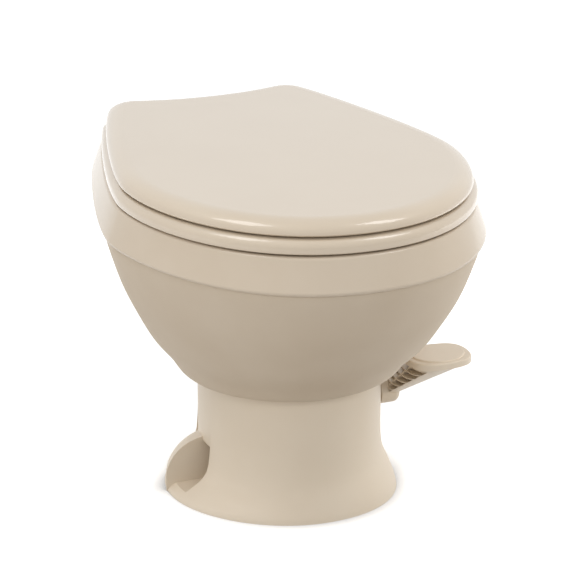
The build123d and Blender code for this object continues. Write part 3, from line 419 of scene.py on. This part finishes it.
cap = copy_of("breaker_cap")
low, high, middle = box_mm(cap)
reach = (high[0] - low[0]) / 2
for i in range(AIR_SLOTS):
    turn = 2 * math.pi * (i + 0.5) / AIR_SLOTS
    tool = slab(
        (reach - AIR_SLOT_DEPTH, -AIR_SLOT_HALF_WIDTH, low[2] + AIR_SLOT_FOOT),
        (reach + 1, AIR_SLOT_HALF_WIDTH, high[2] - AIR_SLOT_TOP),
    )
    bpy.ops.object.select_all(action="DESELECT")
    tool.select_set(True)
    bpy.ops.transform.rotate(value=-turn, orient_axis="Z", center_override=(0, 0, 0))
    bpy.ops.transform.translate(value=(middle[0] * MM, middle[1] * MM, 0))
    bpy.ops.object.transform_apply(location=True, rotation=True, scale=True)
    cut(cap, tool)
cap.name = "breaker_cap_slotted"
dress(cap, white_plastic, "base", "breaker_cap")

# %% [markdown]
# The object stands on white paper. The paper is nearly white for the camera and duller for the light that it
# throws back, so that the bowl's underside keeps its shade, and a painted contact shadow darkens it where the
# foot comes close.

# %% White paper under the object
BOUNCE_COLOUR = "#B8B4AE"
FLOOR_LIFT = 0.42
CONTACT_SHADE_MM = 20
SHADE_FROM = 0.4
DARKEST_SHADE = 0.25
WHITE = (1.0, 1.0, 1.0, 1.0)


def seen_directly(tree):
    """1 for rays that come from the camera, a reflection or a clear piece, else 0"""
    ray = add(tree, "ShaderNodeLightPath")
    mirrored = add(
        tree,
        "ShaderNodeMath",
        {"operation": "MAXIMUM"},
        {0: ray.outputs["Is Glossy Ray"], 1: ray.outputs["Is Transmission Ray"]},
    )
    either = add(
        tree,
        "ShaderNodeMath",
        {"operation": "MAXIMUM"},
        {0: ray.outputs["Is Camera Ray"], 1: mirrored.outputs["Value"]},
    )
    return either.outputs["Value"]


bpy.ops.object.select_all(action="DESELECT")
bpy.ops.mesh.primitive_plane_add(size=12, location=(0, 0, 0))
floor = bpy.context.object
floor.name = "studio_floor"
material, tree, output = new_material("matt_white_paper")
seen = seen_directly(tree)
# Painted contact shadow: occlusion within a short reach darkens the paper's colour near the foot, apart from
# the lamps' own shadows.
contact_occlusion = add(tree, "ShaderNodeAmbientOcclusion", {"samples": 8, "Distance": CONTACT_SHADE_MM * MM})
shade = add(
    tree,
    "ShaderNodeMapRange",
    {"From Min": SHADE_FROM, "To Min": DARKEST_SHADE},
    {"Value": contact_occlusion.outputs["AO"]},
)
paper = add(
    tree,
    "ShaderNodeMix",
    {"data_type": "RGBA", 6: colour(BOUNCE_COLOUR)},
    {0: seen, 7: shade.outputs["Result"]},
)
matt = add(tree, "ShaderNodeBsdfDiffuse", links={"Color": paper.outputs[2]})
glow = add(tree, "ShaderNodeMath", {"operation": "MULTIPLY", 1: FLOOR_LIFT}, {0: seen})
# The painted contact shadow dims the paper's glow as well.
strength = add(
    tree,
    "ShaderNodeMath",
    {"operation": "MULTIPLY"},
    {0: glow.outputs["Value"], 1: shade.outputs["Result"]},
)
lift = add(tree, "ShaderNodeEmission", {"Color": WHITE}, {"Strength": strength.outputs["Value"]})
both = add(tree, "ShaderNodeAddShader", links={0: matt.outputs["BSDF"], 1: lift.outputs["Emission"]})
tree.links.new(both.outputs["Shader"], output.inputs["Surface"])
floor.data.materials.append(material)
print(floor.name, "shade within", CONTACT_SHADE_MM, "mm")

# %% [markdown]
# The light comes from two high soft boxes, one over each side. They leave the short bright streaks on the
# front edges of the seat and lid. Three broad fills, which are kept out of the reflections, brighten the
# front and both flanks. The air round it all is white where it is seen, and dimmer and a little warm as a
# light.

# %% Air and lamps
AIR_LIGHT = 0.62
AIR_COLOUR = (1.0, 0.992, 0.98, 1.0)
BOX_AIM = (0.0, -0.05, 0.3)
FILL_AIM = (0.0, 0.0, 0.15)
FILL_WIDTH = 1.8
FILL_HEIGHT = 0.5

scene = bpy.context.scene
scene.view_settings.view_transform = "Standard"
world = bpy.data.worlds.new("studio_air")
scene.world = world
world.use_nodes = True
tree = world.node_tree
tree.nodes.clear()
seen = seen_directly(tree)
plain = add(tree, "ShaderNodeBackground", {"Color": WHITE, "Strength": 1.0})
air = add(tree, "ShaderNodeBackground", {"Color": AIR_COLOUR, "Strength": AIR_LIGHT})
mix = add(
    tree,
    "ShaderNodeMixShader",
    links={0: seen, 1: air.outputs["Background"], 2: plain.outputs["Background"]},
)
add(tree, "ShaderNodeOutputWorld", links={"Surface": mix.outputs["Shader"]})


def soft_box(name, place, aim, width, height, power):
    """A rectangular lamp that looks at a point, in metres and watts"""
    lamp = bpy.data.lights.new(name, "AREA")
    lamp.shape = "RECTANGLE"
    lamp.size = width
    lamp.size_y = height
    lamp.energy = power
    item = bpy.data.objects.new(name, lamp)
    scene.collection.objects.link(item)
    item.location = place
    item.rotation_euler = (Vector(aim) - Vector(place)).to_track_quat("-Z", "Y").to_euler()
    print(name, power, "W")
    return item


soft_box("left_box", (-1.15, -0.05, 2.24), BOX_AIM, width=0.85, height=0.85, power=9)
soft_box("right_box", (1.03, -0.72, 2.2), BOX_AIM, width=0.6, height=0.85, power=7.5)
for name, place, power in (
    ("front_fill", (-0.7, -2.3, 1.7), 11),
    ("low_left_fill", (-2.5, -0.1, 0.4), 11),
    ("low_right_fill", (2.5, -0.3, 0.5), 20),
):
    fill = soft_box(name, place, FILL_AIM, FILL_WIDTH, FILL_HEIGHT, power)
    fill.visible_glossy = False

# %% [markdown]
# The camera looks from the front left and a little from above, with a long lens, so that the lid, the rim,
# the narrow neck and the pedal all show.

# %% Camera
SENSOR_MM = 36
FOCAL_PIXELS = 2200
PICTURE_PIXELS = 580
TARGET = (0.0378, 0.0973, 0.170)
TURN_DEG = -21.54
RISE_DEG = 20.89
DISTANCE = 2.36318

camera_data = bpy.data.cameras.new("camera")
camera = bpy.data.objects.new("camera", camera_data)
scene.collection.objects.link(camera)
camera_data.sensor_width = SENSOR_MM
camera_data.lens = FOCAL_PIXELS / PICTURE_PIXELS * SENSOR_MM
turn, rise = math.radians(TURN_DEG), math.radians(RISE_DEG)
back = Vector((math.sin(turn) * math.cos(rise), -math.cos(turn) * math.cos(rise), math.sin(rise)))
camera.location = Vector(TARGET) + back * DISTANCE
camera.rotation_euler = (-back).to_track_quat("-Z", "Y").to_euler()
scene.camera = camera
print("camera at", tuple(round(v, 3) for v in camera.location))
